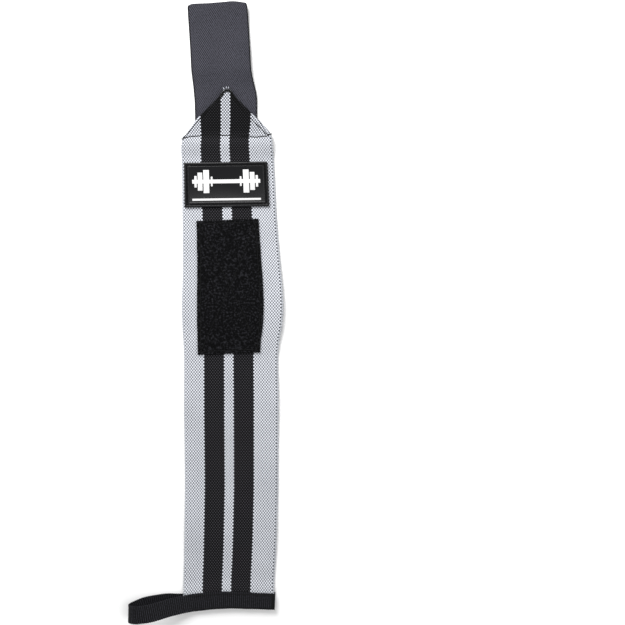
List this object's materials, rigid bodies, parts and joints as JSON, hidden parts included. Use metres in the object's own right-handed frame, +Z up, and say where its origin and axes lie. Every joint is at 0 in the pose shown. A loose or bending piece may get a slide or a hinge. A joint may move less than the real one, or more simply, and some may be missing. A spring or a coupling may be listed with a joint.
{
  "type": "wrist wrap",
  "caption": "Striped elastic wrist wrap laid flat, with a folded point, closure tab, soft loop panel, moulded label and ribbon thumb loop.",
  "frame": {"origin": "on the resting surface, under the middle of the part's box", "axes": "+Y along the band towards the closure tab, +X across it to the side away from the thumb loop, +Z up, out of the outer face"},
  "size_m": [0.1268, 0.5094, 0.0153],
  "materials": {
    "striped_elastic_webbing": "woven elastic webbing, grey with two black stripes along it, matt",
    "charcoal_hook_tape": "woven hook tape, fine diagonal twill on the outer side, matt",
    "black_loop_pile": "brushed loop pile, matt",
    "black_moulded_rubber": "soft moulded, satin",
    "white_moulded_rubber": "soft moulded, satin",
    "black_elastic_ribbon": "narrow ribbed elastic ribbon, matt"
  },
  "bodies": {
    "root": {"elastic_band": "striped_elastic_webbing", "closure_tab": "charcoal_hook_tape", "loop_panel": "black_loop_pile", "label_patch": "black_moulded_rubber", "label_emblem": "white_moulded_rubber", "label_rule": "white_moulded_rubber", "thumb_loop": "black_elastic_ribbon"}
  },
  "joints": []
}
